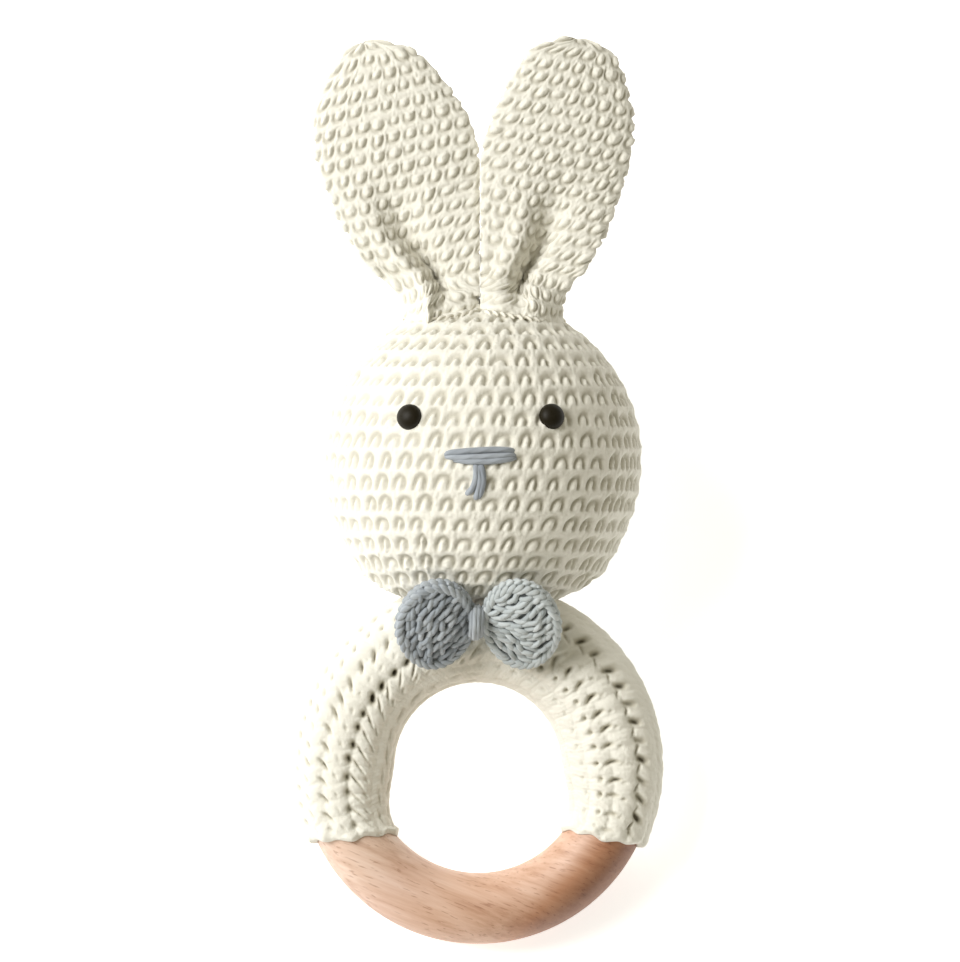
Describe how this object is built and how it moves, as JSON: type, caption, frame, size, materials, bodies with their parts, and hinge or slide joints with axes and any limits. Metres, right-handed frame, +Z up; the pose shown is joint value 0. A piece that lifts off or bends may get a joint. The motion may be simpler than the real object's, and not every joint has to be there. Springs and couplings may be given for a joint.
{
  "type": "baby rattle",
  "caption": "Crocheted bunny head with upright ears and a bow, sewn to a sleeved wooden teething ring, with a rattle capsule inside.",
  "frame": {"origin": "under the middle of the bounding box, on the surface that the rattle lies on", "axes": "lying on its back: +Z up out of the face, +Y from the ring towards the ears, +X to the right seen from the front"},
  "size_m": [0.0738, 0.1728, 0.063],
  "materials": {
    "beech": "sanded smooth, oiled",
    "cream_yarn": "crocheted cotton yarn",
    "blue_yarn": "crocheted cotton yarn",
    "fibrefill": "loose polyester fibre",
    "capsule_plastic": "moulded",
    "bead_steel": "polished",
    "eye_plastic": "satin gloss",
    "washer_plastic": "moulded"
  },
  "bodies": {
    "sleeve": {"ring_sleeve": "cream_yarn", "sleeve_seam": "cream_yarn"},
    "ring": {"wood_ring": "beech"},
    "head": {"head_cover": "cream_yarn", "neck_seam_front": "cream_yarn", "neck_seam_back": "cream_yarn", "ear_seam_left": "cream_yarn", "ear_seam_right": "cream_yarn", "stuffing_front": "fibrefill", "stuffing_back": "fibrefill", "capsule_front": "capsule_plastic", "capsule_back": "capsule_plastic", "eye_left": "eye_plastic", "eye_right": "eye_plastic", "eye_washer_left": "washer_plastic", "eye_washer_right": "washer_plastic", "nose_upper_strand": "blue_yarn", "nose_lower_strand": "blue_yarn", "mouth_left_strand": "blue_yarn", "mouth_right_strand": "blue_yarn", "bow_left_lobe": "blue_yarn", "bow_right_lobe": "blue_yarn", "bow_knot": "blue_yarn"},
    "left_ear": {"ear_left": "cream_yarn"},
    "right_ear": {"ear_right": "cream_yarn"},
    "bead_1": {"rattle_bead_1": "bead_steel"},
    "bead_2": {"rattle_bead_2": "bead_steel"},
    "bead_3": {"rattle_bead_3": "bead_steel"},
    "bead_4": {"rattle_bead_4": "bead_steel"},
    "bead_5": {"rattle_bead_5": "bead_steel"},
    "bead_6": {"rattle_bead_6": "bead_steel"},
    "bead_7": {"rattle_bead_7": "bead_steel"}
  },
  "joints": [
    {"name": "ring_turn", "type": "hinge", "parent": "sleeve", "child": "ring", "pos_m": [0, -0.05246, 0.01457], "axis": [0, -0.2704, 0.9628], "continuous": true},
    {"name": "head_nod", "type": "hinge", "parent": "sleeve", "child": "head", "pos_m": [0, -0.02671, 0.0218], "axis": [1, 0, 0], "range_deg": [-12, 12], "stiffness_Nm_per_rad": 0.5},
    {"name": "left_ear_flop", "type": "hinge", "parent": "head", "child": "left_ear", "pos_m": [0, 0.03948, 0.04039], "axis": [1, 0, 0], "range_deg": [-75, 45], "stiffness_Nm_per_rad": 0.03},
    {"name": "right_ear_flop", "type": "hinge", "parent": "head", "child": "right_ear", "pos_m": [0, 0.03948, 0.04039], "axis": [1, 0, 0], "range_deg": [-75, 45], "stiffness_Nm_per_rad": 0.03},
    {"name": "bead_1_roll", "type": "slide", "parent": "head", "child": "bead_1", "axis": [0, 0, 1], "range_m": [0, 0.0206]},
    {"name": "bead_2_roll", "type": "slide", "parent": "head", "child": "bead_2", "axis": [0, 0, 1], "range_m": [0, 0.0182]},
    {"name": "bead_3_roll", "type": "slide", "parent": "head", "child": "bead_3", "axis": [0, 0, 1], "range_m": [0, 0.0182]},
    {"name": "bead_4_roll", "type": "slide", "parent": "head", "child": "bead_4", "axis": [0, 0, 1], "range_m": [0, 0.0182]},
    {"name": "bead_5_roll", "type": "slide", "parent": "head", "child": "bead_5", "axis": [0, 0, 1], "range_m": [0, 0.0182]},
    {"name": "bead_6_roll", "type": "slide", "parent": "head", "child": "bead_6", "axis": [0, 0, 1], "range_m": [0, 0.0182]},
    {"name": "bead_7_roll", "type": "slide", "parent": "head", "child": "bead_7", "axis": [0, 0, 1], "range_m": [0, 0.0182]}
  ]
}
